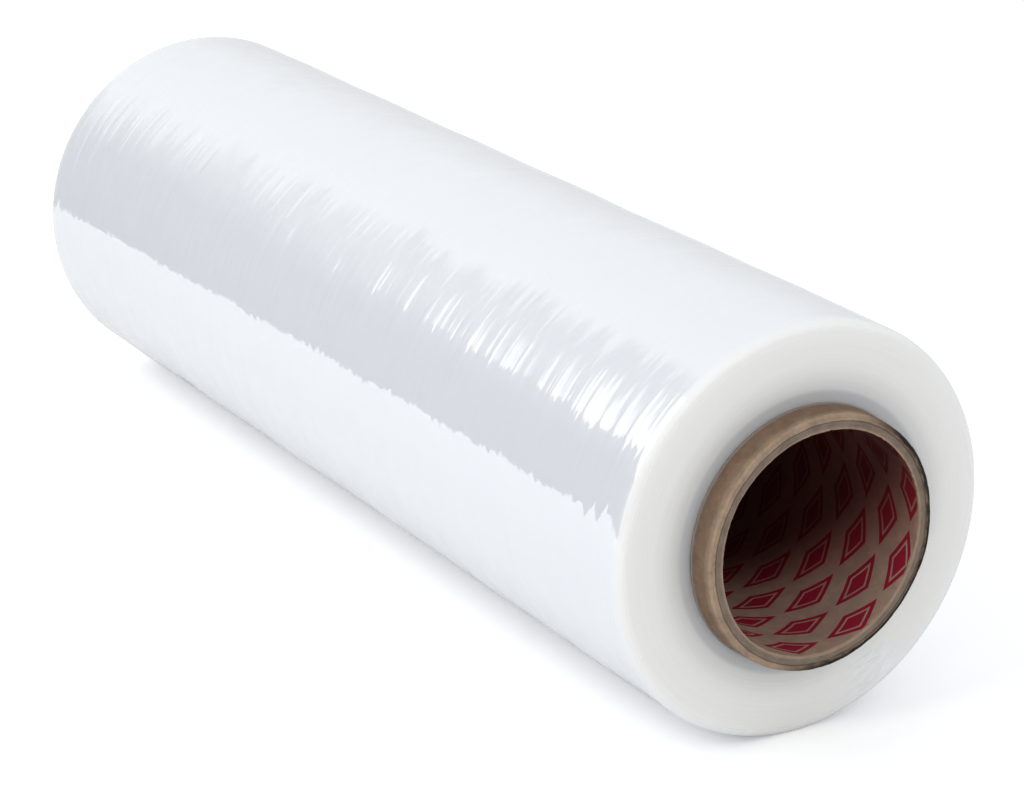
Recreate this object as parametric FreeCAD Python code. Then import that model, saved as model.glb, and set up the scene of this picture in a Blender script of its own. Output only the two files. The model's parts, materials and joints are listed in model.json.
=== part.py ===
"""Roll of clear stretch film wound on a spiral cardboard tube, lying on its side.

The roll's axis runs along X. The film has lain on a table, so its soft turns have a small flat
spot underneath, which is the plane Z = 0. The origin is the middle of that flat spot.
All sizes are in millimetres.
"""

import FreeCAD
import Part
import math
import os

# The film that is wound on the tube
film_width = 450.0
film_diameter = 143.0
rim_radius = 4.0
rim_steps = 4
flat_spot_width = 20.0

# The wound film is not quite even: tight turns stand proud in rings round its side and its ends
side_ridges = 6
side_ridge_height = 0.3
end_ridges = 3
end_ridge_height = 0.3
ridge_unevenness = 0.35

# The spiral wound cardboard tube
core_bore = 76.2
core_wall = 5.5
core_overhang = 10.5
core_outer_edge = 2.4
core_outer_steps = 3
core_inner_edge = 0.8
core_inner_steps = 2
ply_ridges = 2
ply_ridge_height = 0.15

# What follows from those
film_radius = film_diameter / 2
bore_radius = core_bore / 2
core_radius = bore_radius + core_wall
core_length = film_width + 2 * core_overhang
axis_height = math.sqrt(film_radius**2 - (flat_spot_width / 2) ** 2)

roll_axis = FreeCAD.Vector(1, 0, 0)
axis_point = FreeCAD.Vector(0, 0, axis_height)


def section_point(along, radius):
    """A point of a half section: so far along the roll, and so far above its axis."""
    return FreeCAD.Vector(along, 0, axis_height + radius)


def lines(points):
    """Straight edges from point to point."""
    return [Part.makeLine(start, end) for start, end in zip(points, points[1:])]


def rounded(end_face, side, radius, steps, mirrored=False, inward=False):
    """Points from an end face to a side, round the edge between them, which is soft from use.

    The edge is at the right end unless it is mirrored, and faces the axis if it is inward.
    """
    points = []
    for step in range(steps + 1):
        turn = math.radians(90 * step / steps)
        along = end_face - radius * (1 - math.cos(turn))
        depth = radius * (1 - math.sin(turn))
        height = side + depth if inward else side - depth
        points.append(section_point(-along if mirrored else along, height))
    return points


def ridged(start, end, ridges, height, unevenness=0.0):
    """Edges from start to end with ridges of uneven width, which stand out to the left of the way."""
    way = end - start
    outward = FreeCAD.Vector(-way.z, 0, way.x).normalize() * height
    slopes = 2 * ridges
    shares = [1 + unevenness * math.sin(2.4 * i + 0.7) for i in range(slopes)]
    points = [start + way * (sum(shares[:i]) / sum(shares)) for i in range(slopes + 1)]
    points[1::2] = [point + outward for point in points[1::2]]
    return lines(points)


def turned(edges):
    """The solid that a closed half section makes when it turns about the roll's axis."""
    return Part.Face(Part.Wire(edges)).revolve(axis_point, roll_axis, 360)


def film_section():
    """Half section of the wound film, from the tube outwards, over the side and back."""
    face = film_width / 2 - end_ridge_height
    side = film_radius - side_ridge_height
    left_foot = section_point(-face, core_radius)
    right_foot = section_point(face, core_radius)
    left_rim = rounded(face, side, rim_radius, rim_steps, mirrored=True)
    right_rim = rounded(face, side, rim_radius, rim_steps)[::-1]
    edges = ridged(left_foot, left_rim[0], end_ridges, end_ridge_height, ridge_unevenness)
    edges += lines(left_rim)
    edges += ridged(left_rim[-1], right_rim[0], side_ridges, side_ridge_height, ridge_unevenness)
    edges += lines(right_rim)
    edges += ridged(right_rim[-1], right_foot, end_ridges, end_ridge_height, ridge_unevenness)
    edges += lines([right_foot, left_foot])
    return edges


def film_roll():
    """The wound film, with the flat spot that it lies on."""
    below = Part.makeBox(
        film_width,
        film_diameter,
        film_radius,
        FreeCAD.Vector(-film_width / 2, -film_radius, -film_radius),
    )
    return turned(film_section()).cut(below)


def core_section():
    """Half section of the tube, with soft edges and the ridges of its plies on its sawn ends."""
    face = core_length / 2 - ply_ridge_height
    left_outer = rounded(face, core_radius, core_outer_edge, core_outer_steps, mirrored=True)
    right_outer = rounded(face, core_radius, core_outer_edge, core_outer_steps)[::-1]
    left_inner = rounded(
        face, bore_radius, core_inner_edge, core_inner_steps, mirrored=True, inward=True
    )[::-1]
    right_inner = rounded(face, bore_radius, core_inner_edge, core_inner_steps, inward=True)
    edges = ridged(left_inner[-1], left_outer[0], ply_ridges, ply_ridge_height)
    edges += lines(left_outer + right_outer)
    edges += ridged(right_outer[-1], right_inner[0], ply_ridges, ply_ridge_height)
    edges += lines(right_inner + left_inner)
    return edges


def cardboard_core():
    return turned(core_section())


def main():
    os.makedirs("parts", exist_ok=True)
    pieces = {"film_roll": film_roll(), "cardboard_core": cardboard_core()}
    for name, shape in pieces.items():
        shape.exportStep(f"parts/{name}.step")
        print(name, "valid", shape.isValid(), "solids", len(shape.Solids), "mm3", round(shape.Volume))


main()
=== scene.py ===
import json
import math

import bpy
import numpy as np
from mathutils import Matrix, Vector


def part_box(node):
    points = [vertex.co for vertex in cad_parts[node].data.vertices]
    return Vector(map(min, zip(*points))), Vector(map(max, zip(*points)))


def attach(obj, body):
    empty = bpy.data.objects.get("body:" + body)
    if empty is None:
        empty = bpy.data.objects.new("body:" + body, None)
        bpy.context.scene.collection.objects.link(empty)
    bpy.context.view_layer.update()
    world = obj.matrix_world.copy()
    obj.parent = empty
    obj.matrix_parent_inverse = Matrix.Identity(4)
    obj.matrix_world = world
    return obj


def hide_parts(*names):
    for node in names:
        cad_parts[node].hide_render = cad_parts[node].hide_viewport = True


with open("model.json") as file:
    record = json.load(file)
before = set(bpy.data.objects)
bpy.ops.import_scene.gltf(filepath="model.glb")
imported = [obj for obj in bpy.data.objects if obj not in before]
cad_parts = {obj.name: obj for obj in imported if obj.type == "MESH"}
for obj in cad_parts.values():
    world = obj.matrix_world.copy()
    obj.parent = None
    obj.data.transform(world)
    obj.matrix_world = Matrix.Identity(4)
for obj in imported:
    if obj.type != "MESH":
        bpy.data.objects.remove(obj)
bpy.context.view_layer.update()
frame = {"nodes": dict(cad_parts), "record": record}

bl_info = {
    "name": "Stretch wrap roll",
    "version": (1, 0, 0),
    "blender": (4, 5, 0),
    "location": "3D View > Sidebar > Stretch Roll",
    "description": "Builds a roll of clear stretch film on a cardboard tube, and a plain studio for it",
    "category": "Object",
}

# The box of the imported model, and the sizes that the pieces take from it, in metres
core_mount = next(m for m in frame["record"]["mounts"] if m["name"] == "core_bore")
axis_height = core_mount["pos_m"][2]
bore_radius = core_mount["dims"]["r_mm"] / 1000
film_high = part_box("film_roll")[1]
core_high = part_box("cardboard_core")[1]
film_radius = film_high.z - axis_height
film_end = film_high.x
core_radius = core_high.z - axis_height
core_end = core_high.x
core_wall = core_radius - bore_radius

MM = 0.001
WHITE = (1.0, 1.0, 1.0, 1.0)


class FilmSettings(bpy.types.PropertyGroup):
    """Sizes and colours of the wound film."""

    rim_radius: bpy.props.FloatProperty(
        name="Rim radius", description="Rounding where the side meets an end", default=4 * MM, unit="LENGTH"
    )
    row_spacing: bpy.props.FloatProperty(
        name="Row spacing", description="Mesh rows along the roll", default=0.95 * MM, unit="LENGTH"
    )
    columns: bpy.props.IntProperty(
        name="Columns", description="Mesh columns round the roll", default=168, min=24
    )
    ripple_height: bpy.props.FloatProperty(
        name="Ripple height", description="Height of the tension ripples in the film",
        default=0.01 * MM, unit="LENGTH",
    )
    swell_height: bpy.props.FloatProperty(
        name="Swell height", description="Height of the broad swells of the film's side",
        default=0.1 * MM, unit="LENGTH",
    )
    turn_height: bpy.props.FloatProperty(
        name="Turn height", description="How far turns stand proud on an end",
        default=0.08 * MM, unit="LENGTH",
    )
    side_colour: bpy.props.FloatVectorProperty(
        name="Side colour", description="Colour of the film's side", subtype="COLOR", size=4,
        default=(0.77, 0.795, 0.83, 1.0),
    )
    end_colour: bpy.props.FloatVectorProperty(
        name="End colour", description="Colour of the ends, near the rim", subtype="COLOR", size=4,
        default=(0.93, 0.92, 0.885, 1.0),
    )
    # Painted shade: the grey of the ends by the tube, partly the tube showing through the film
    inner_colour: bpy.props.FloatVectorProperty(
        name="Inner colour", description="Colour of the ends by the tube, which shows through",
        subtype="COLOR", size=4, default=(0.62, 0.63, 0.64, 1.0),
    )


class CoreSettings(bpy.types.PropertyGroup):
    """Sizes and colours of the cardboard tube."""

    columns: bpy.props.IntProperty(
        name="Columns", description="Mesh columns round the tube", default=540, min=48
    )
    outer_edge: bpy.props.FloatProperty(
        name="Outer edge", description="Rounding of the worn outer edge", default=1.2 * MM, unit="LENGTH"
    )
    inner_edge: bpy.props.FloatProperty(
        name="Inner edge", description="Rounding of the inner edge", default=0.8 * MM, unit="LENGTH"
    )
    plies: bpy.props.IntProperty(name="Plies", description="Layers of board in the wall", default=7, min=2)
    print_columns: bpy.props.FloatProperty(
        name="Print columns", description="Diamonds round the bore; the half makes staggered rows meet",
        default=9.5,
    )
    print_pitch: bpy.props.FloatProperty(
        name="Print pitch", description="Rows of diamonds along the bore", default=12 * MM, unit="LENGTH"
    )
    # Painted shade: the side of the outer edge that is darkened, turned from the top
    soiled_side: bpy.props.FloatProperty(
        name="Soiled side", description="Where the outer edge is soiled, turned from the top",
        subtype="ANGLE", default=math.radians(112),
    )
    board_colour: bpy.props.FloatVectorProperty(
        name="Board colour", description="Colour of the kraft board", subtype="COLOR", size=4,
        default=(0.235, 0.150, 0.097, 1.0),
    )
    worn_colour: bpy.props.FloatVectorProperty(
        name="Worn colour", description="Colour of the rubbed edges", subtype="COLOR", size=4,
        default=(0.32, 0.225, 0.155, 1.0),
    )
    sawn_colour: bpy.props.FloatVectorProperty(
        name="Sawn colour", description="Colour of the sawn plies", subtype="COLOR", size=4,
        default=(0.195, 0.148, 0.114, 1.0),
    )
    seam_colour: bpy.props.FloatVectorProperty(
        name="Seam colour", description="Colour of the gap between two plies", subtype="COLOR", size=4,
        default=(0.10, 0.07, 0.05, 1.0),
    )
    # Painted shade: colour of the darkened side of the outer edge
    soil_colour: bpy.props.FloatVectorProperty(
        name="Soil colour", description="Colour of the soiled edge", subtype="COLOR", size=4,
        default=(0.016, 0.013, 0.009, 1.0),
    )
    # Painted light: colour of the paler band where the board leaves the film
    cling_colour: bpy.props.FloatVectorProperty(
        name="Cling colour", description="Colour of the board where film clings to it", subtype="COLOR",
        size=4, default=(0.40, 0.37, 0.33, 1.0),
    )
    lining_colour: bpy.props.FloatVectorProperty(
        name="Lining colour", description="Colour of the inner ply", subtype="COLOR", size=4,
        default=(0.215, 0.143, 0.106, 1.0),
    )
    print_colour: bpy.props.FloatVectorProperty(
        name="Print colour", description="Colour of the print on the inner ply", subtype="COLOR", size=4,
        default=(0.17, 0.004, 0.016, 1.0),
    )


class StageSettings(bpy.types.PropertyGroup):
    """The camera, lamps and floor."""

    camera_place: bpy.props.FloatVectorProperty(
        name="Camera place", description="Where the camera stands", subtype="XYZ", size=3,
        default=(0.9682, -0.5495, 0.4506),
    )
    camera_heading: bpy.props.FloatProperty(
        name="Camera heading", description="Way that the camera looks, turned from the X axis",
        subtype="ANGLE", default=2.6064,
    )
    camera_dip: bpy.props.FloatProperty(
        name="Camera dip", description="How far the camera looks down", subtype="ANGLE", default=0.3477
    )
    camera_focal: bpy.props.FloatProperty(
        name="Focal length", description="Focal length on a 36 mm wide sensor, in mm", default=109.1
    )
    dome_light: bpy.props.FloatProperty(
        name="Dome light", description="Strength of the even light from all round", default=0.83
    )
    softbox_power: bpy.props.FloatProperty(
        name="Softbox power", description="Power of the softbox to the left of the roll",
        default=6.0, unit="POWER",
    )
    softbox_place: bpy.props.FloatVectorProperty(
        name="Softbox place", description="Where the softbox hangs", subtype="XYZ", size=3,
        default=(0.0, -1.05, 0.95),
    )
    softbox_size: bpy.props.FloatProperty(
        name="Softbox size", description="Width and height of the softbox", default=1.0, unit="LENGTH"
    )
    screen_height: bpy.props.FloatProperty(
        name="Screen height", description="Height of the side screen", default=0.9, unit="LENGTH"
    )
    screen_colour: bpy.props.FloatVectorProperty(
        name="Screen colour", description="Colour of the side screen's dark part", subtype="COLOR", size=4,
        default=(0.06, 0.065, 0.07, 1.0),
    )
    window_light: bpy.props.FloatProperty(
        name="Window light", description="Strength of the side screen's window, which glints on the film",
        default=1.5,
    )


class RollSettings(bpy.types.PropertyGroup):
    """All that the pieces and the stage are built from."""

    film: bpy.props.PointerProperty(type=FilmSettings)
    core: bpy.props.PointerProperty(type=CoreSettings)
    stage: bpy.props.PointerProperty(type=StageSettings)


def smooth_step(low, high, value):
    """0 below low, 1 above high and an even change between them."""
    t = np.clip((value - low) / (high - low), 0, 1)
    return t * t * (3 - 2 * t)


def ring_noise(seed, along, turn, length, patches):
    """Smooth noise from -1 to 1 over a tube: length apart along it, and so many patches round it."""
    rows = int(np.ptp(along) / length) + 3
    heights = np.random.default_rng(seed).uniform(-1, 1, (rows, patches))
    a = (along - along.min()) / length
    b = (turn / math.tau) % 1 * patches
    row, column = np.floor(a).astype(int), np.floor(b).astype(int)
    s, t = a - row, b - column
    s, t = s**3 * (s * (6 * s - 15) + 10), t**3 * (t * (6 * t - 15) + 10)
    column, after = column % patches, (column + 1) % patches
    low = heights[row, column] * (1 - t) + heights[row, after] * t
    high = heights[row + 1, column] * (1 - t) + heights[row + 1, after] * t
    return low * (1 - s) + high * s


def outline(node):
    """The top outline of a CAD node that was turned about the axis: places along it, and radii."""
    half_height = axis_height + bore_radius
    in_middle = 1e-6
    points = {
        (round(v.co.x, 6), round(v.co.z - axis_height, 6))
        for v in frame["nodes"][node].data.vertices
        if abs(v.co.y) < in_middle and v.co.z > half_height
    }
    return np.array(sorted(points))


def softened(values, width):
    """The values, averaged over so many neighbours."""
    kernel = np.hanning(width + 2)[1:-1]
    padded = np.pad(values, width // 2, mode="edge")
    return np.convolve(padded, kernel / kernel.sum(), mode="valid")[: len(values)]


def arc_points(centre, radius, start, end, count):
    """Points and normals on a circle, from one angle to another, in degrees from the roll's axis."""
    angles = np.radians(np.linspace(start, end, count))
    normals = np.stack([np.cos(angles), np.sin(angles)], axis=1)
    return np.array(centre) + radius * normals, normals


def straight_points(start, end, count, normal):
    """Points from start to end, less both of them, with one normal."""
    shares = np.linspace(0, 1, count + 2)[1:-1, None]
    points = np.array(start) * (1 - shares) + np.array(end) * shares
    return points, np.tile(normal, (count, 1))


def one_profile(parts):
    """The points of all parts of a profile, and their normals."""
    points = np.concatenate([part[0] for part in parts])
    normals = np.concatenate([np.asarray(part[1], dtype=float) for part in parts])
    return points, normals


def turned_mesh(name, points, normals, columns, shift):
    """A closed ring that the profile makes as it turns, with shift(along, radius, turn) out of it."""
    turns = np.linspace(0, math.tau, columns, endpoint=False)
    along = np.repeat(points[:, 0], columns)
    radius = np.repeat(points[:, 1], columns)
    turn = np.tile(turns, len(points))
    out = shift(along, radius, turn)
    along = along + np.repeat(normals[:, 0], columns) * out
    radius = radius + np.repeat(normals[:, 1], columns) * out
    places = np.stack([along, radius * np.sin(turn), axis_height + radius * np.cos(turn)], axis=1)
    # The flat spot that the roll lies on
    places[:, 2] = np.maximum(places[:, 2], 0)
    row = np.arange(len(points))[:, None] * columns
    next_row = np.roll(row, -1, axis=0)
    column = np.arange(columns)[None, :]
    next_column = (column + 1) % columns
    corners = np.stack(
        [row + column, row + next_column, next_row + next_column, next_row + column], axis=2
    )
    mesh = bpy.data.meshes.new(name)
    mesh.from_pydata(places.tolist(), [], corners.reshape(-1, 4).tolist())
    mesh.validate()
    mesh.shade_smooth()
    piece = bpy.data.objects.new(name, mesh)
    bpy.context.collection.objects.link(piece)
    return piece


def add_node(tree, kind, inputs=(), **settings):
    """A new shader node, with each input of the given name or number set or linked."""
    node = tree.nodes.new(kind)
    for name, value in settings.items():
        setattr(node, name, value)
    for name, value in dict(inputs).items():
        if isinstance(value, bpy.types.NodeSocket):
            tree.links.new(value, node.inputs[name])
        else:
            node.inputs[name].default_value = value
    return node


def calculated(tree, operation, first, second=0.0, third=0.0):
    """The result of a Math node."""
    return add_node(tree, "ShaderNodeMath", {0: first, 1: second, 2: third}, operation=operation).outputs[0]


def product(tree, first, *others):
    """Values multiplied together."""
    for other in others:
        first = calculated(tree, "MULTIPLY", first, other)
    return first


def ranged(tree, value, low, high, to_low=0.0, to_high=1.0):
    """A value brought smoothly from one range to another."""
    inputs = {"Value": value, "From Min": low, "From Max": high, "To Min": to_low, "To Max": to_high}
    return add_node(tree, "ShaderNodeMapRange", inputs, interpolation_type="SMOOTHSTEP").outputs[0]


def near_to(tree, value, centre, near, far, inside=1.0, outside=0.0):
    """One number where a value is near a centre, which turns smoothly into another far from it."""
    distance = calculated(tree, "ABSOLUTE", calculated(tree, "SUBTRACT", value, centre))
    return ranged(tree, distance, near, far, inside, outside)


def swung(tree, base, noise, amount):
    """A base that noise swings up and down, by an amount in all."""
    return calculated(tree, "MULTIPLY_ADD", calculated(tree, "SUBTRACT", noise, 0.5), amount, base)


def mixed(tree, share, first, second, blend="MIX"):
    """Two colours mixed by a share."""
    node = add_node(tree, "ShaderNodeMix", data_type="RGBA", blend_type=blend)
    share_socket, first_socket, second_socket = node.inputs[0], node.inputs[6], node.inputs[7]
    for socket, value in ((share_socket, share), (first_socket, first), (second_socket, second)):
        if isinstance(value, bpy.types.NodeSocket):
            tree.links.new(value, socket)
        else:
            socket.default_value = value
    return node.outputs[2]


def joined(tree, x, y=0.0, z=0.0):
    """A vector of three values."""
    return add_node(tree, "ShaderNodeCombineXYZ", {0: x, 1: y, 2: z}).outputs[0]


def tinted(tree, colour, tint):
    """A colour made lighter or darker by a value."""
    return mixed(tree, 1.0, colour, joined(tree, tint, tint, tint), "MULTIPLY")


def grain(tree, vector, scale, detail=2.0, roughness=0.5):
    """Noise at a place."""
    inputs = {"Vector": vector, "Scale": scale, "Detail": detail, "Roughness": roughness}
    return add_node(tree, "ShaderNodeTexNoise", inputs).outputs["Fac"]


def drawn_grain(tree, across, across_scale, turn, turn_scale, detail=2.0, roughness=0.5):
    """Noise that is drawn out round the roll: fine across the winding, and long along it."""
    place = joined(tree, product(tree, across, across_scale), product(tree, turn, turn_scale))
    return grain(tree, place, 1.0, detail, roughness)


def object_place(tree):
    """The place on the object, in metres."""
    return add_node(tree, "ShaderNodeTexCoord").outputs["Object"]


def roll_places(tree):
    """Place along the roll, turn about its axis from the top, and distance from the axis."""
    split = add_node(tree, "ShaderNodeSeparateXYZ", {0: object_place(tree)}).outputs
    height = calculated(tree, "SUBTRACT", split[2], axis_height)
    turn = calculated(tree, "ARCTAN2", split[1], height)
    square = calculated(tree, "MULTIPLY_ADD", height, height, product(tree, split[1], split[1]))
    return split[0], turn, calculated(tree, "SQRT", square)


def bumped(tree, height, depth):
    """A normal with a height in it, which is depth deep in metres."""
    inputs = {"Height": height, "Distance": depth, "Strength": 1.0}
    return add_node(tree, "ShaderNodeBump", inputs).outputs[0]


def leaned(tree, turn, lean, roll):
    """The surface's normal, leaned along the roll by one value and round it by another."""
    back = product(tree, roll, calculated(tree, "COSINE", turn))
    down = product(tree, roll, calculated(tree, "SINE", turn), -1.0)
    tilt = joined(tree, lean, back, down)
    normal = add_node(tree, "ShaderNodeNewGeometry").outputs["Normal"]
    total = add_node(tree, "ShaderNodeVectorMath", {0: normal, 1: tilt}, operation="ADD").outputs[0]
    return add_node(tree, "ShaderNodeVectorMath", {0: total}, operation="NORMALIZE").outputs[0]


def new_material(name):
    """An empty material with its node tree."""
    material = bpy.data.materials.new(name)
    material.use_nodes = True
    material.node_tree.nodes.clear()
    return material, material.node_tree


def finished(tree, shader):
    """Ends the tree in the shader."""
    add_node(tree, "ShaderNodeOutputMaterial", {"Surface": shader})


def milky_film(tree, colour, skin):
    """Many turns of clear film: light goes into them and comes out again, under a skin of its own."""
    body = {
        "Base Color": colour,
        "Subsurface Weight": 0.5,
        "Subsurface Radius": (1.0, 1.0, 1.0),
        "Subsurface Scale": 12 * MM,
    }
    finished(tree, add_node(tree, "ShaderNodeBsdfPrincipled", {**body, **skin}).outputs[0])


def turn_rings(tree, radius, turn):
    """Noise in rings on the film's ends, one for every few turns."""
    return drawn_grain(tree, radius, 2200.0, turn, 1.2, detail=3.0, roughness=0.65)


def film_end_colour(tree, settings, radius, turn, rings):
    """Colour of the film's ends: greyer by the tube, where the tube shows through and painted shade falls
    beside it, lighter low on the right with painted light, and lightly ringed.
    """
    lit_side = 2.35
    # Painted shade: a grey band by the tube, partly the tube showing through the film
    clear = calculated(
        tree, "ADD",
        ranged(tree, radius, core_radius + 3.4 * MM, core_radius + 5.2 * MM, 0.0, 0.45),
        ranged(tree, radius, core_radius + 2 * MM, core_radius + 15 * MM, 0.0, 0.55),
    )
    # Painted light: the ends are lighter low on the right, around the turn lit_side from the top
    clear = calculated(tree, "ADD", clear, near_to(tree, turn, lit_side, 0.2, 0.7, 0.4))
    colour = mixed(tree, clear, tuple(settings.inner_colour), tuple(settings.end_colour))
    return tinted(tree, colour, ranged(tree, rings, 0.3, 0.7, 0.98, 1.015))


def film_side_colour(tree, settings, along, turn):
    """Colour of the film's side: paler underneath with painted light off the floor, and one short grey line
    of painted shade in a wrinkle near the far end.
    """
    crease_place = -108 * MM
    crease_turn = -0.77
    crease_shade_strength = 0.14
    # Painted light: the side is paler underneath, where light comes back off the floor
    floor_bounce_light = ranged(tree, calculated(tree, "ABSOLUTE", turn), 1.6, 2.0, 1.0, 1.045)
    # Painted shade: a short grey line in a wrinkle near the far end
    crease_shade = product(
        tree,
        near_to(tree, along, crease_place, 0.2 * MM, 0.7 * MM),
        near_to(tree, turn, crease_turn, 0.05, 0.12, crease_shade_strength),
    )
    return tinted(tree, tuple(settings.side_colour), calculated(tree, "SUBTRACT", floor_bounce_light, crease_shade))


def skin_lean(tree, along, turn, reach, rim_start):
    """How far the skin leans along the roll: patches of short streaks, dents, and a groove by each rim."""
    streak_lean = 0.64
    streaked_side = -0.9
    dent_lean = 0.15
    groove_lean = 0.06
    streaks = drawn_grain(tree, along, 470.0, turn, 0.8, detail=3.0, roughness=0.6)
    patches = ranged(tree, drawn_grain(tree, along, 220.0, turn, 3.4, detail=1.0), 0.32, 0.52, 0.1, 1.0)
    slack = near_to(tree, turn, streaked_side, 0.25, 0.5, 1.0, 0.15)
    lean = product(tree, swung(tree, 0.0, streaks, patches), slack)
    groove = near_to(tree, reach, rim_start - 1.6 * MM, 0.3 * MM, 0.7 * MM, groove_lean)
    dents = drawn_grain(tree, along, 60.0, turn, 4.5, detail=3.0)
    return calculated(tree, "MULTIPLY_ADD", lean, streak_lean, swung(tree, groove, dents, dent_lean))


def skin_roll(tree, along, turn, reach):
    """How far the skin leans round the roll: ripples, which are looser near the ends."""
    rippled_side = -1.32
    ripples = drawn_grain(tree, along, 400.0, turn, 2.0)
    shaken = ranged(tree, reach, film_end - 40 * MM, film_end - 8 * MM, 0.1, 0.34)
    loose = near_to(tree, turn, rippled_side, 0.1, 0.3, 1.0, 0.25)
    return product(tree, swung(tree, 0.0, ripples, shaken), loose)


def film_side(settings):
    """The side of many turns of clear film: milky, with a glossy skin that streaks what it reflects."""
    material, tree = new_material("film_side")
    along, turn, radius = roll_places(tree)
    reach = calculated(tree, "ABSOLUTE", along)
    rim_start = film_end - settings.rim_radius
    on_end = ranged(tree, reach, rim_start, film_end - 0.3 * MM)
    end_colour = film_end_colour(tree, settings, radius, turn, turn_rings(tree, radius, turn))
    colour = mixed(tree, on_end, film_side_colour(tree, settings, along, turn), end_colour)
    lean = skin_lean(tree, along, turn, reach, rim_start)
    roll = skin_roll(tree, along, turn, reach)
    skin = {
        "Roughness": 0.6,
        "Specular IOR Level": 0.0,
        "Coat Weight": 1.0,
        "Coat Roughness": 0.035,
        "Coat IOR": 2.6,
        "Coat Normal": leaned(tree, turn, lean, roll),
    }
    milky_film(tree, colour, skin)
    return material


def film_ends(settings):
    """The ends of the wound film: the edges of its turns, softer and less glossy than its side."""
    material, tree = new_material("film_ends")
    turn, radius = roll_places(tree)[1:]
    rings = turn_rings(tree, radius, turn)
    colour = film_end_colour(tree, settings, radius, turn, rings)

    # A few turns are crumpled low down on the end: bumped, with painted highlights that mix their colour
    # towards white
    crumpled_side = 2.66
    crease_height = 45.0
    crumpled = product(
        tree,
        near_to(tree, turn, crumpled_side, 0.08, 0.24),
        ranged(tree, radius, core_radius + 8 * MM, core_radius + 15 * MM),
    )
    creases = drawn_grain(tree, radius, 520.0, turn, 6.0)
    glints = product(tree, crumpled, ranged(tree, creases, 0.44, 0.58, 0.1, 1.0))
    height = calculated(tree, "ADD", product(tree, creases, crumpled, crease_height), rings)
    skin = {"Roughness": 0.4, "IOR": 1.5, "Normal": bumped(tree, height, 0.03 * MM)}
    milky_film(tree, mixed(tree, glints, colour, WHITE), skin)
    return material


def matt_board(tree, colour, roughness, normal):
    """Bare cardboard, with hardly any shine."""
    inputs = {"Base Color": colour, "Roughness": roughness, "Specular IOR Level": 0.25, "Normal": normal}
    finished(tree, add_node(tree, "ShaderNodeBsdfPrincipled", inputs).outputs[0])


def kraft_board(settings):
    """Grey-brown board with fibres, torn plies on its sawn ends, an edge that is rubbed, painted shade on
    one side of that edge and painted light where the board leaves the film.
    """
    material, tree = new_material("kraft_board")
    along, turn, radius = roll_places(tree)
    reach = calculated(tree, "ABSOLUTE", along)
    mottle = grain(tree, object_place(tree), 180.0, 4.0, 0.6)
    slant = calculated(tree, "ADD", along, radius)
    fibres = drawn_grain(tree, slant, 1800.0, turn, 20.0, detail=3.0, roughness=0.6)
    torn = drawn_grain(tree, radius, 1100.0, turn, 9.0, detail=3.0, roughness=0.6)

    # How far through the wall, from 0 at the bore to 1 at the outside, wavy as the plies are
    through = calculated(tree, "DIVIDE", calculated(tree, "SUBTRACT", radius, bore_radius), core_wall)
    wavy = swung(tree, through, mottle, 0.12)
    seam_place = 0.56
    on_end = ranged(tree, reach, core_end - 1.6 * MM, core_end - 0.6 * MM)
    rubbed = ranged(tree, reach, core_end - 4.0 * MM, core_end - 1.6 * MM)
    lip = ranged(tree, wavy, 0.1, 0.24, 1.0, 0.0)
    inner_half = product(tree, on_end, ranged(tree, wavy, 0.52, 0.6, 1.0, 0.0))
    seam = product(tree, on_end, near_to(tree, wavy, seam_place, 0.02, 0.06, 0.8))
    sawn = mixed(tree, lip, tuple(settings.sawn_colour), tuple(settings.worn_colour))
    base = mixed(tree, rubbed, tuple(settings.board_colour), tuple(settings.worn_colour))
    base = mixed(tree, inner_half, base, sawn)
    base = mixed(tree, seam, base, tuple(settings.seam_colour))
    base = tinted(tree, base, ranged(tree, mottle, 0.3, 0.7, 0.84, 1.12))
    rough_fibres = calculated(tree, "MULTIPLY_ADD", on_end, torn, fibres)
    base = tinted(tree, base, ranged(tree, rough_fibres, 0.3, 1.2, 0.8, 1.2))

    # Painted light: the board is paler in a narrow band where it comes out of the film, against the contact
    # shade there
    contact_light = ranged(tree, reach, film_end - 0.3 * MM, film_end + 1.2 * MM, 0.8, 0.0)
    base = mixed(tree, contact_light, base, tuple(settings.cling_colour))

    # Painted shade: one side of the outer edge is darkened nearly black, between torn fibres
    facing = calculated(tree, "COSINE", calculated(tree, "SUBTRACT", turn, settings.soiled_side))
    frayed = swung(tree, wavy, torn, 0.5)
    shaded = product(tree, ranged(tree, facing, -0.1, 0.4), ranged(tree, frayed, 0.42, 0.8), rubbed)
    colour = mixed(tree, shaded, base, tuple(settings.soil_colour))
    height = calculated(tree, "MULTIPLY_ADD", product(tree, on_end, torn), 1.2, fibres)
    matt_board(tree, colour, 0.86, bumped(tree, height, 0.2 * MM))
    return material


def from_middle(tree, value):
    """How far a value is from the middle of its cell, where cells are 1 wide."""
    share = calculated(tree, "FRACT", value)
    return calculated(tree, "ABSOLUTE", calculated(tree, "SUBTRACT", share, 0.5))


def diamond_print(tree, settings, along, turn, mottle):
    """1 on the ink of a staggered lattice of diamonds, each with a bare inner line."""
    half_width = 0.45
    half_length = 0.46
    line_place = 0.62

    # The lattice climbs by one row for each turn; the half column makes it close on itself
    across = product(tree, turn, settings.print_columns / math.tau)
    rows = calculated(tree, "DIVIDE", along, settings.print_pitch)
    climb = calculated(tree, "MULTIPLY_ADD", turn, 1.0 / math.tau, rows)
    stagger = product(tree, calculated(tree, "FLOOR", climb), 0.5)
    sideways = from_middle(tree, calculated(tree, "ADD", across, stagger))
    lengthways = product(tree, from_middle(tree, climb), 1 / half_length)
    size = calculated(tree, "MULTIPLY_ADD", sideways, 1 / half_width, lengthways)
    size = swung(tree, size, mottle, 0.04)
    diamond = ranged(tree, size, 0.97, 1.0, 1.0, 0.0)
    bare_line = near_to(tree, size, line_place, 0.05, 0.09)
    return product(tree, diamond, calculated(tree, "SUBTRACT", 1.0, bare_line))


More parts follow.
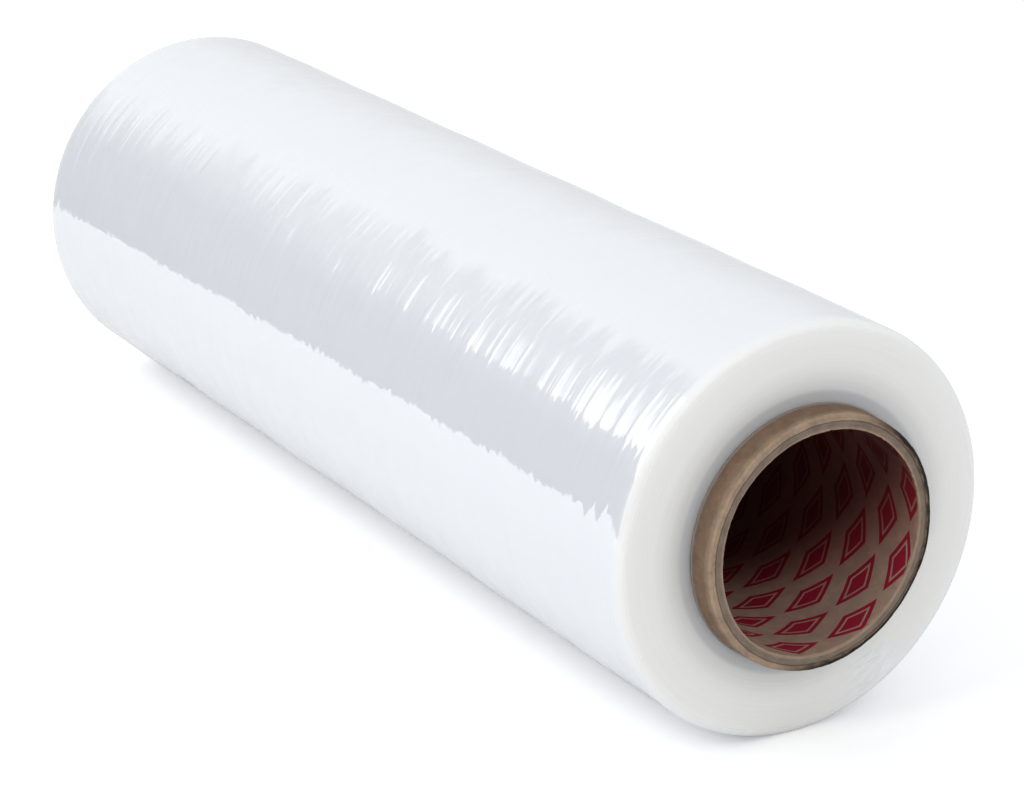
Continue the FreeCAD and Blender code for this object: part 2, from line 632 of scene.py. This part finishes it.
def printed_lining(settings):
    """The inner ply: grey kraft with a lattice of red diamonds, each with a pale inner line."""
    material, tree = new_material("printed_lining")
    along, turn = roll_places(tree)[:2]
    mottle = grain(tree, object_place(tree), 220.0, 4.0, 0.6)
    inside = calculated(tree, "SUBTRACT", core_end, calculated(tree, "ABSOLUTE", along))
    inked = diamond_print(tree, settings, along, turn, mottle)
    inked = product(tree, inked, ranged(tree, inside, 1.3 * MM, 1.6 * MM))
    board = tinted(tree, tuple(settings.lining_colour), ranged(tree, mottle, 0.3, 0.7, 0.88, 1.08))
    printed = mixed(tree, inked, board, tuple(settings.print_colour))

    # Light from above the open end reaches deepest along the bottom of the bore
    reach_per_turn = 39 * MM
    reach_at_top = -50 * MM
    half_fade = 25 * MM
    round_way = calculated(tree, "ABSOLUTE", turn)
    lit = calculated(tree, "MULTIPLY_ADD", round_way, reach_per_turn, reach_at_top)
    past = calculated(tree, "SUBTRACT", inside, lit)
    shade = product(
        tree,
        ranged(tree, past, -half_fade, half_fade, 2.5, 0.42),
        ranged(tree, inside, 0.0, 40 * MM, 0.72, 1.0),
    )
    cool = product(tree, shade, ranged(tree, past, -half_fade, half_fade, 1.0, 0.45))
    colour = mixed(tree, 1.0, printed, joined(tree, shade, cool, cool), "MULTIPLY")
    matt_board(tree, colour, 0.8, bumped(tree, mottle, 0.08 * MM))
    return material


def placed(piece, node):
    """Puts a finished piece in the place of its CAD node."""
    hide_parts(node)
    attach(piece, "root")


class STRETCHROLL_OT_wound_film(bpy.types.Operator):
    """Builds the wound film, with its ripples, soft rims and the turns on its ends"""

    bl_idname = "stretchroll.wound_film"
    bl_label = "Wound film"

    # The film stops just short of the tube's wall
    wall = core_radius + 0.04 * MM

    def side_line(self, settings):
        """Places along the side between the rims, and the side's radius there, from the CAD outline."""
        ridge_depth = 0.6 * MM
        softened_rows = 15
        cad = outline("film_roll")
        side = cad[cad[:, 1] > film_radius - ridge_depth]
        half = film_end - settings.rim_radius
        rows = int(half / settings.row_spacing)
        right = (np.arange(rows) + 0.5) * half / rows
        along = np.concatenate([-right[::-1], right])
        return along, softened(np.interp(along, side[:, 0], side[:, 1]), softened_rows)

    def section(self, settings):
        """The film's profile from the left end over the side and the right end, and back by the tube."""
        wall = self.wall
        rim = settings.rim_radius
        end_rows = 34
        rim_rows = 12
        face = film_end - 0.15 * MM
        corner = face - 0.5 * MM
        along, radii = self.side_line(settings)
        left = radii[0] - rim
        right = radii[-1] - rim
        return one_profile([
            straight_points((-face, wall), (-face, left), end_rows, (-1, 0)),
            arc_points((-face + rim, left), rim, 180, 90, rim_rows),
            (np.stack([along, radii], axis=1), np.tile((0, 1), (len(along), 1))),
            arc_points((face - rim, right), rim, 90, 0, rim_rows),
            straight_points((face, right), (face, wall), end_rows, (1, 0)),
            (
                np.array([(face, wall), (corner, wall), (-corner, wall), (-face, wall)]),
                np.array([(1, 0), (0, -1), (0, -1), (-1, 0)]),
            ),
        ])

    def relief(self, settings):
        """How far the film's skin stands out: ripples and swells on its side, turns on its ends."""
        side_inset = 0.12 * MM
        end_inset = 0.05 * MM

        def shift(along, radius, turn):
            on_skin = (radius > self.wall + 0.01 * MM).astype(float)
            on_end = smooth_step(film_end - settings.rim_radius, film_end - 0.5 * MM, np.abs(along))
            slack = 0.7 + 0.5 * ring_noise(10, along, turn, 38 * MM, 4)
            ripples = slack * (
                ring_noise(11, along, turn, 6.5 * MM, 5) ** 3 * 1.6
                + ring_noise(12, along, turn + 0.3, 3.4 * MM, 6) ** 3 * 1.5
                + ring_noise(13, along, turn + 0.1, 2.0 * MM, 8) * 0.35
            )
            swell = ring_noise(14, along, turn, 60 * MM, 5)
            turns = (
                ring_noise(15, radius, turn, 2.6 * MM, 5) * 1.0
                + ring_noise(16, radius, turn, 1.3 * MM, 8) * 0.5
            )
            side = ripples * settings.ripple_height + swell * settings.swell_height - side_inset
            end = turns * settings.turn_height - end_inset
            return on_skin * (side * (1 - on_end) + end * on_end)

        return shift

    def execute(self, context):
        settings = context.scene.roll_settings.film
        points, normals = self.section(settings)
        piece = turned_mesh("wound_film", points, normals, settings.columns, self.relief(settings))
        piece.data.materials.append(film_side(settings))
        piece.data.materials.append(film_ends(settings))
        flat_end = 0.97
        for polygon in piece.data.polygons:
            if abs(polygon.normal.x) > flat_end:
                polygon.material_index = 1
        placed(piece, "film_roll")
        return {"FINISHED"}


class STRETCHROLL_OT_cardboard_tube(bpy.types.Operator):
    """Builds the spiral wound tube, with its worn ends and printed lining"""

    bl_idname = "stretchroll.cardboard_tube"
    bl_label = "Cardboard tube"

    def section(self, settings):
        """The tube's profile, with rows that lie closer near its ends, where the board is worn."""
        outer = settings.outer_edge
        inner = settings.inner_edge
        face = core_end - 0.28 * MM
        covered = film_end - 2 * MM
        mouth = face - 30 * MM
        points, normals = one_profile([
            straight_points((0, core_radius), (covered, core_radius), 8, (0, 1)),
            straight_points((covered, core_radius), (face - outer, core_radius), 16, (0, 1)),
            arc_points((face - outer, core_radius - outer), outer, 90, 0, 12),
            straight_points((face, core_radius - outer), (face, bore_radius + inner), 12, (1, 0)),
            arc_points((face - inner, bore_radius + inner), inner, 0, -90, 6),
            straight_points((face - inner, bore_radius), (mouth, bore_radius), 14, (0, -1)),
            straight_points((mouth, bore_radius), (0, bore_radius), 12, (0, -1)),
        ])
        mirror = (-1, 1)
        return (
            np.concatenate([points, points[::-1] * mirror]),
            np.concatenate([normals, normals[::-1] * mirror]),
        )

    def relief(self, settings):
        """How far the board stands out near its ends: lifted plies, dents and fuzz."""
        lift_height = 0.16 * MM
        crush_height = 0.2 * MM
        fuzz_height = 0.08 * MM
        inset = 0.12 * MM
        ply_step = core_wall / settings.plies

        def shift(along, radius, turn):
            near_end = smooth_step(core_end - 5 * MM, core_end - 1 * MM, np.abs(along))
            ply = np.clip(np.floor((radius - bore_radius) / ply_step), 0, settings.plies - 1)
            lift = ring_noise(21, ply * 1.0 + 20 * np.sign(along), turn, 0.7, 13)
            crush = ring_noise(22, along, turn, 3 * MM, 24)
            fuzz = ring_noise(23, radius + along, turn, 0.5 * MM, 160)
            return near_end * (lift * lift_height + crush * crush_height + fuzz * fuzz_height - inset)

        return shift

    def execute(self, context):
        settings = context.scene.roll_settings.core
        points, normals = self.section(settings)
        piece = turned_mesh("cardboard_tube", points, normals, settings.columns, self.relief(settings))
        piece.data.materials.append(kraft_board(settings))
        piece.data.materials.append(printed_lining(settings))
        lining_limit = bore_radius + 0.35 * MM
        for polygon in piece.data.polygons:
            centre = polygon.center
            if math.hypot(centre.y, centre.z - axis_height) < lining_limit:
                polygon.material_index = 1
        placed(piece, "cardboard_core")
        return {"FINISHED"}


def background_rays(tree):
    """1 for the rays that see the background: from the camera, off gloss and through clear things."""
    rays = add_node(tree, "ShaderNodeLightPath").outputs
    seen = calculated(tree, "MAXIMUM", rays["Is Camera Ray"], rays["Is Glossy Ray"])
    return calculated(tree, "MAXIMUM", seen, rays["Is Transmission Ray"])


def pale_world(light):
    """A white background for the camera, walls that are greyer low down for gloss, and an even dome."""
    world = bpy.data.worlds.new("studio")
    bpy.context.scene.world = world
    world.use_nodes = True
    tree = world.node_tree
    tree.nodes.clear()
    dome = tuple(c * light for c in (0.96, 0.975, 1.0)) + (1.0,)
    rays = add_node(tree, "ShaderNodeLightPath").outputs
    way = add_node(tree, "ShaderNodeTexCoord").outputs["Generated"]
    up = add_node(tree, "ShaderNodeSeparateXYZ", {0: way}).outputs[2]
    walls = ranged(tree, up, 0.0, 0.45, 0.8, 1.0)
    seen = mixed(tree, rays["Is Glossy Ray"], WHITE, joined(tree, walls, walls, walls))
    colour = mixed(tree, background_rays(tree), dome, seen)
    background = add_node(tree, "ShaderNodeBackground", {"Color": colour, "Strength": 1.0})
    add_node(tree, "ShaderNodeOutputWorld", {"Surface": background.outputs[0]})


def flat_sheet(name, corners, material):
    """A flat sheet of the stage."""
    mesh = bpy.data.meshes.new(name)
    mesh.from_pydata(corners, [], [tuple(range(len(corners)))])
    sheet = bpy.data.objects.new(name, mesh)
    bpy.context.collection.objects.link(sheet)
    mesh.materials.append(material)
    return sheet


def floor_material():
    """White card, overexposed for the camera as in a catalogue picture, that keeps the object's shadow."""
    card_white = 0.9
    whiter_for_camera = 0.2
    camera_glow = 0.165
    gloss_glow = 0.04
    material, tree = new_material("white_floor")
    rays = add_node(tree, "ShaderNodeLightPath").outputs
    white = calculated(tree, "MULTIPLY_ADD", rays["Is Camera Ray"], whiter_for_camera, card_white)
    card = add_node(tree, "ShaderNodeBsdfDiffuse", {"Color": joined(tree, white, white, white)})
    seen_glow = product(tree, rays["Is Camera Ray"], camera_glow)
    glow = calculated(tree, "MULTIPLY_ADD", rays["Is Glossy Ray"], gloss_glow, seen_glow)
    lift = add_node(tree, "ShaderNodeEmission", {"Strength": glow})
    both = add_node(tree, "ShaderNodeAddShader", {0: card.outputs[0], 1: lift.outputs[0]})
    finished(tree, both.outputs[0])
    return material


def screen_material(settings):
    """A grey side screen that turns white towards its top and its far end, with a bright window in it."""
    window_colour = (1.0, 0.985, 0.95, 1.0)
    sill_slope = 0.214
    sill_rise = 0.078
    material, tree = new_material("grey_screen")
    split = add_node(tree, "ShaderNodeSeparateXYZ", {0: object_place(tree)}).outputs
    back, up = split[1], split[2]
    level = calculated(tree, "MULTIPLY_ADD", back, sill_slope, calculated(tree, "ADD", up, sill_rise))
    upper = ranged(tree, level, 0.20, 0.46, 0.0, 0.5)
    far = ranged(tree, back, -0.24, -0.10)
    shade = calculated(tree, "MULTIPLY_ADD", calculated(tree, "SUBTRACT", 1.0, upper), far, upper)
    grey = mixed(tree, shade, tuple(settings.screen_colour), WHITE)
    over_sill = ranged(tree, level, 0.340, 0.354)
    past_frame = ranged(tree, back, -0.335, -0.455)
    window = product(tree, over_sill, past_frame)
    strength = ranged(tree, window, 0.0, 1.0, 1.0, settings.window_light)
    colour = mixed(tree, window, grey, window_colour)
    finished(tree, add_node(tree, "ShaderNodeEmission", {"Color": colour, "Strength": strength}).outputs[0])
    return material


def seen_in_gloss(sheet):
    """Leaves a sheet to the reflections alone."""
    sheet.visible_camera = False
    sheet.visible_diffuse = False
    sheet.visible_shadow = False


def area_lamp(name, place, target, size, power):
    """A square soft lamp that faces a target."""
    light = bpy.data.lights.new(name, "AREA")
    light.shape = "RECTANGLE"
    light.size = size
    light.size_y = size
    light.energy = power
    lamp = bpy.data.objects.new(name, light)
    lamp.location = place
    lamp.visible_camera = False
    lamp.rotation_euler = (Vector(target) - Vector(place)).to_track_quat("-Z", "Y").to_euler()
    bpy.context.collection.objects.link(lamp)


class STRETCHROLL_OT_stage(bpy.types.Operator):
    """Sets up the floor, the side screen, the lamps and the camera"""

    bl_idname = "stretchroll.stage"
    bl_label = "Stage"

    def floor_and_screen(self, settings):
        """The white floor ends to the left of the roll, where a grey screen stands on its edge."""
        near, right, back, left = -1.584, 3.0, 4.0, -1.5
        edge_near = Vector((0.30, near, 0.0))
        edge_far = Vector((left, 1.197, 0.0))
        corners = [
            edge_near,
            Vector((right, near, 0.0)),
            Vector((right, back, 0.0)),
            Vector((left, back, 0.0)),
            edge_far,
        ]
        flat_sheet("floor", corners, floor_material())
        screen_far = edge_near.lerp(edge_far, 0.6)
        rise = Vector((0.0, 0.0, settings.screen_height))
        corners = [edge_near, screen_far, screen_far + rise, edge_near + rise]
        seen_in_gloss(flat_sheet("side_screen", corners, screen_material(settings)))

    def camera(self, settings):
        """A camera at the photograph's place."""
        camera = bpy.data.cameras.new("camera")
        camera.lens = settings.camera_focal
        camera.sensor_width = 36.0
        viewer = bpy.data.objects.new("camera", camera)
        viewer.location = settings.camera_place
        dip = settings.camera_dip
        heading = settings.camera_heading
        look = Vector(
            (math.cos(dip) * math.cos(heading), math.cos(dip) * math.sin(heading), -math.sin(dip))
        )
        viewer.rotation_euler = look.to_track_quat("-Z", "Y").to_euler()
        bpy.context.collection.objects.link(viewer)
        return viewer

    def execute(self, context):
        settings = context.scene.roll_settings.stage
        scene = context.scene
        scene.view_settings.view_transform = "Standard"
        pale_world(settings.dome_light)
        self.floor_and_screen(settings)
        middle = (0.0, 0.0, axis_height)
        area_lamp("softbox", settings.softbox_place, middle, settings.softbox_size, settings.softbox_power)
        scene.camera = self.camera(settings)
        return {"FINISHED"}


class STRETCHROLL_PT_pieces(bpy.types.Panel):
    """Lists what the add-on builds"""

    bl_label = "Stretch Roll"
    bl_idname = "STRETCHROLL_PT_pieces"
    bl_space_type = "VIEW_3D"
    bl_region_type = "UI"
    bl_category = "Stretch Roll"

    def draw(self, context):
        for operator in operators:
            self.layout.operator(operator.bl_idname)


operators = (STRETCHROLL_OT_wound_film, STRETCHROLL_OT_cardboard_tube, STRETCHROLL_OT_stage)
classes = (FilmSettings, CoreSettings, StageSettings, RollSettings, *operators, STRETCHROLL_PT_pieces)


def register():
    for cls in classes:
        bpy.utils.register_class(cls)
    bpy.types.Scene.roll_settings = bpy.props.PointerProperty(type=RollSettings)


def unregister():
    del bpy.types.Scene.roll_settings
    for cls in reversed(classes):
        bpy.utils.unregister_class(cls)


def main():
    register()
    bpy.ops.stretchroll.wound_film()
    bpy.ops.stretchroll.cardboard_tube()
    bpy.ops.stretchroll.stage()


if __name__ == "__main__":
    main()
